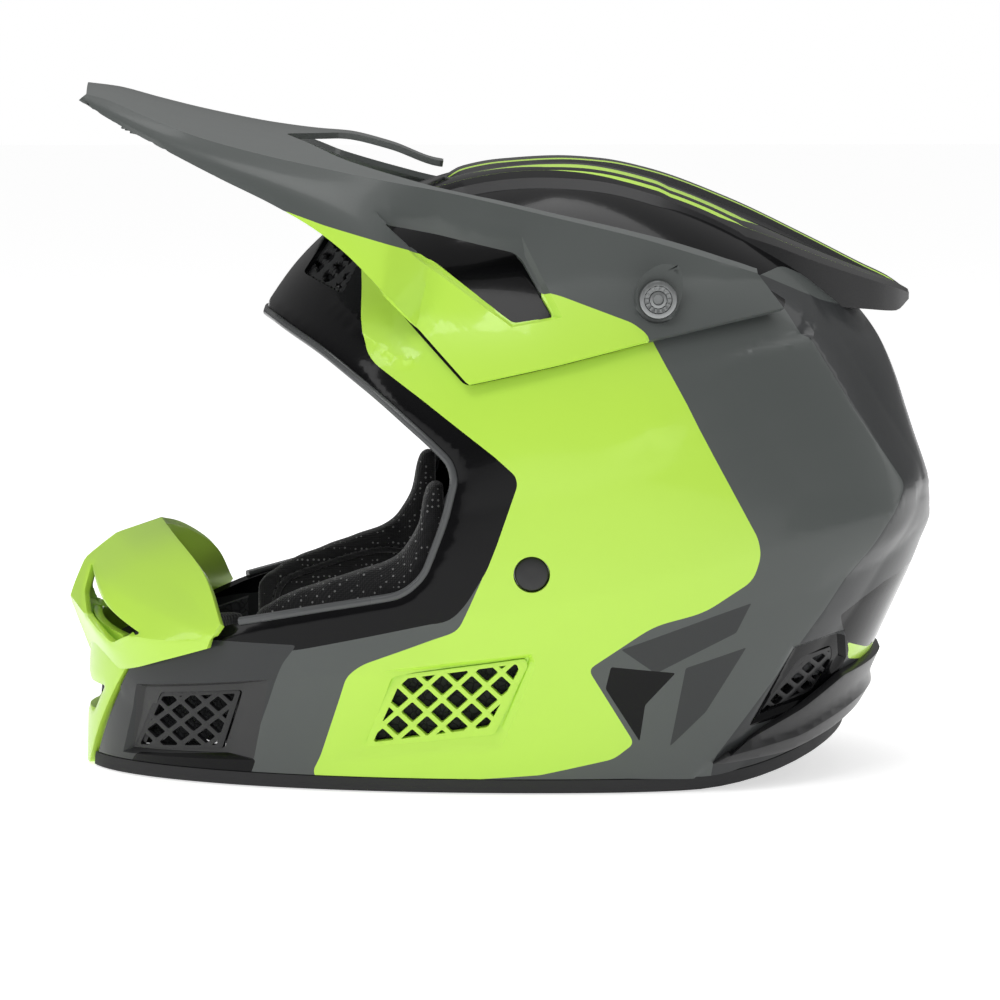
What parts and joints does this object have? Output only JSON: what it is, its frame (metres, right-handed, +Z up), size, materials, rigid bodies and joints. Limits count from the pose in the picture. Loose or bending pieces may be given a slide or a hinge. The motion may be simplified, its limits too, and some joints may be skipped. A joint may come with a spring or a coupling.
{
  "type": "motocross helmet",
  "caption": "Full-face off-road helmet with a long tilting visor, wide eyeport, vented chin bar, foam liner, removable cheek pads and a double-ring chin strap.",
  "frame": {"origin": "on the floor under the middle of the helmet's bounding box", "axes": "+Z up, the face looks along -X, the wearer's left is -Y"},
  "size_m": [0.361, 0.2508, 0.286],
  "materials": {
    "shell_paint": "clear-coated paint in grey, lime and black fields",
    "lime_plastic": "gloss lime",
    "black_gloss": "gloss black",
    "black_plastic": "satin moulded",
    "rubber": "matt",
    "foam": "beaded foam",
    "fabric": "brushed knit and mesh",
    "webbing": "woven",
    "red_tape": "woven tape",
    "steel": "brushed"
  },
  "bodies": {
    "helmet": {"outer_shell": "shell_paint", "side_grille_left": "lime_plastic", "side_grille_right": "lime_plastic", "front_grille_left": "black_plastic", "front_grille_right": "black_plastic", "rear_grille_left": "black_plastic", "rear_grille_right": "black_plastic", "brow_grille_left": "black_plastic", "brow_grille_right": "black_plastic", "base_trim": "rubber", "eyeport_trim": "rubber", "mouthpiece": "lime_plastic", "mouth_grille": "black_plastic", "nose_guard": "lime_plastic", "rear_spoiler": "black_gloss", "rear_deflector": "black_gloss", "eps_crown": "foam", "eps_side_left": "foam", "eps_side_right": "foam", "eps_chin": "foam", "chin_pad": "fabric", "headliner": "fabric", "neck_roll": "fabric", "anchor_cap_left": "black_plastic", "anchor_cap_right": "black_plastic", "anchor_bolt_left": "steel", "anchor_bolt_right": "steel", "visor_screw_left": "steel", "visor_screw_right": "steel", "visor_nut_left": "steel", "visor_nut_right": "steel"},
    "visor": {"visor": "shell_paint", "visor_washer_left": "rubber", "visor_washer_right": "rubber"},
    "cheek_left": {"cheek_pad_left": "fabric", "cheek_base_left": "black_plastic", "cheek_magnet_left": "steel", "release_tab_left": "red_tape"},
    "cheek_right": {"cheek_pad_right": "fabric", "cheek_base_right": "black_plastic", "cheek_magnet_right": "steel", "release_tab_right": "red_tape"},
    "chin_strap": {"strap_short": "webbing", "strap_long": "webbing", "d_ring_upper": "steel", "d_ring_lower": "steel", "snap_stud": "black_plastic", "snap_cap": "black_plastic", "strap_hanger_left": "steel", "strap_hanger_right": "steel", "strap_pad_left": "fabric", "strap_pad_right": "fabric"}
  },
  "joints": [
    {"name": "visor_tilt", "type": "hinge", "parent": "helmet", "child": "visor", "pos_m": [0.0583, 0, 0.1989], "axis": [0, 1, 0], "range_deg": [-3, 5]},
    {"name": "chin_strap_swing", "type": "hinge", "parent": "helmet", "child": "chin_strap", "pos_m": [0.0083, 0, 0.0909], "axis": [0, 1, 0], "range_deg": [-10, 16]},
    {"name": "cheek_pad_left_slide", "type": "slide", "parent": "helmet", "child": "cheek_left", "axis": [0, 0, -1], "range_m": [0, 0.12]},
    {"name": "cheek_pad_right_slide", "type": "slide", "parent": "helmet", "child": "cheek_right", "axis": [0, 0, -1], "range_m": [0, 0.12]}
  ]
}
